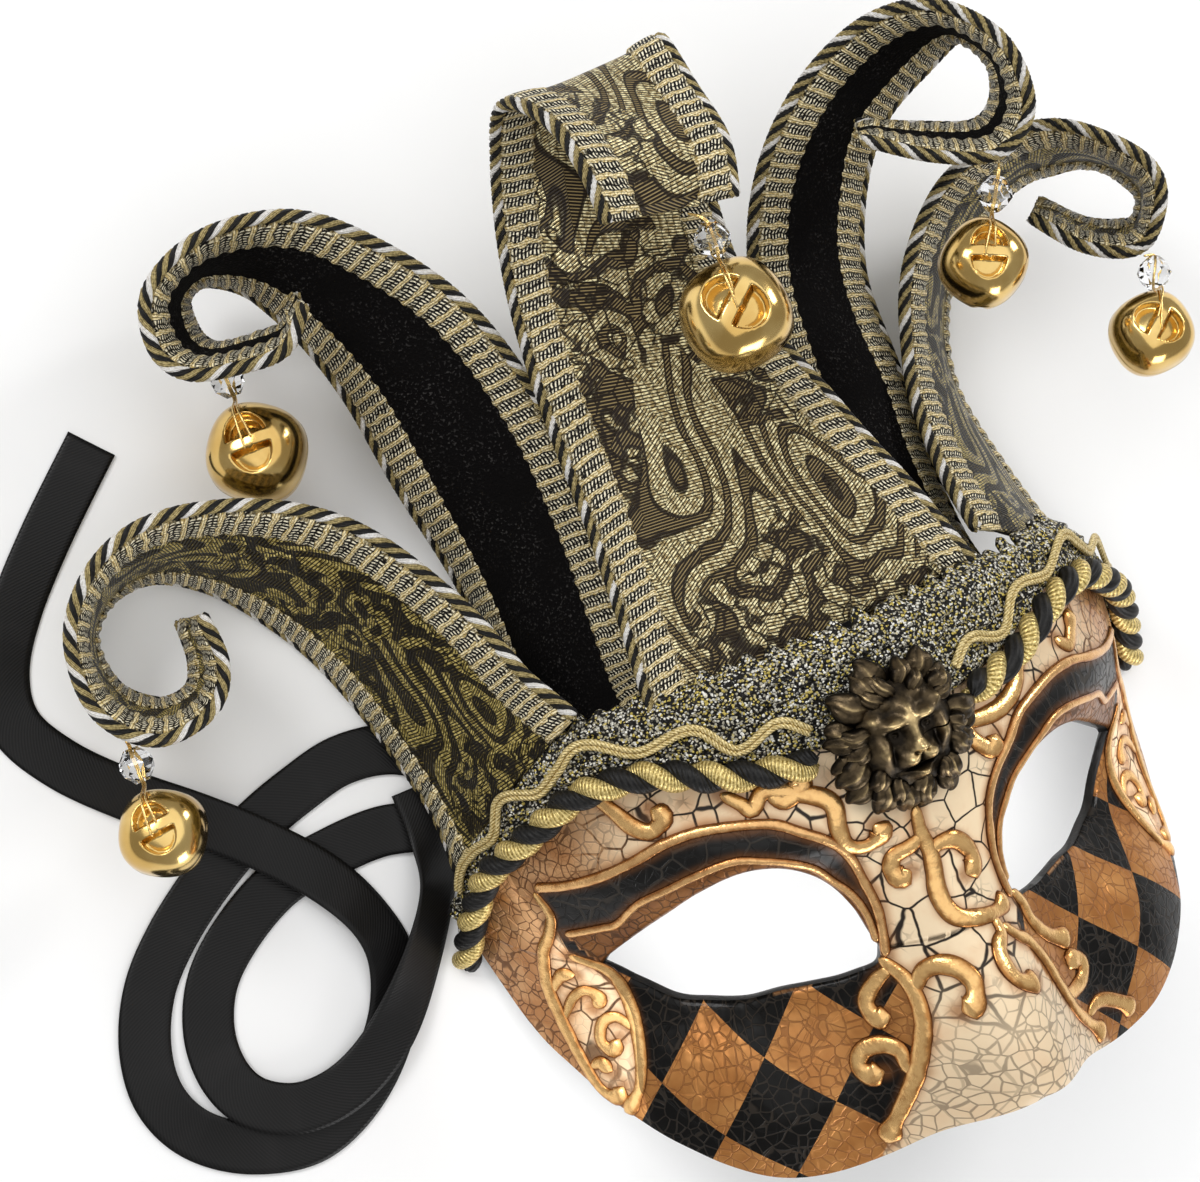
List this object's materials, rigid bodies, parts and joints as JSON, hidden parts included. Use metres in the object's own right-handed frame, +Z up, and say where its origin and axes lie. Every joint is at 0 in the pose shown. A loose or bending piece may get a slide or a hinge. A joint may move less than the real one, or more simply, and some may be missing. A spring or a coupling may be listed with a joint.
{
  "type": "jester half mask",
  "caption": "Venetian-style half mask with a five-pointed jester's crown of brocade and velvet, jingle bells, a lion's head, twisted rope trim and satin ribbon ties.",
  "frame": {"origin": "middle of the footprint of the mask and its crown, on the surface that it lies on", "axes": "+X to the viewer's right across the face, +Y up the face to the crown, +Z up, out of the face"},
  "size_m": [0.257, 0.2138, 0.0765],
  "materials": {
    "enamel": "crackled enamel on papier-mache",
    "bronze": "antiqued cast",
    "lurex": "metallic knit",
    "rope": "satin and metallic strands",
    "gold_cord": "metallic braid",
    "brocade": "woven brocade",
    "velvet": "velvet",
    "gimp": "gimp braid",
    "brass": "polished",
    "crystal": "faceted",
    "wire": "drawn",
    "satin": "satin"
  },
  "bodies": {
    "root": {"mask_shell": "enamel", "lion_head": "bronze", "crepe_band": "lurex", "rope_left": "rope", "rope_right": "rope", "soutache_left": "gold_cord", "soutache_right": "gold_cord", "ribbon_near": "satin", "ribbon_far": "satin", "point_far_left": "brocade", "trim_far_left_a": "gimp", "trim_far_left_b": "gimp", "bell_far_left": "brass", "bead_far_left": "crystal", "wire_far_left": "wire", "point_left": "velvet", "trim_left_a": "gimp", "trim_left_b": "gimp", "bell_left": "brass", "bead_left": "crystal", "wire_left": "wire", "point_centre": "brocade", "trim_centre_a": "gimp", "trim_centre_b": "gimp", "bell_centre": "brass", "bead_centre": "crystal", "wire_centre": "wire", "point_right": "velvet", "trim_right_a": "gimp", "trim_right_b": "gimp", "bell_right": "brass", "bead_right": "crystal", "wire_right": "wire", "point_far_right": "brocade", "trim_far_right_a": "gimp", "trim_far_right_b": "gimp", "bell_far_right": "brass", "bead_far_right": "crystal", "wire_far_right": "wire"}
  },
  "joints": []
}
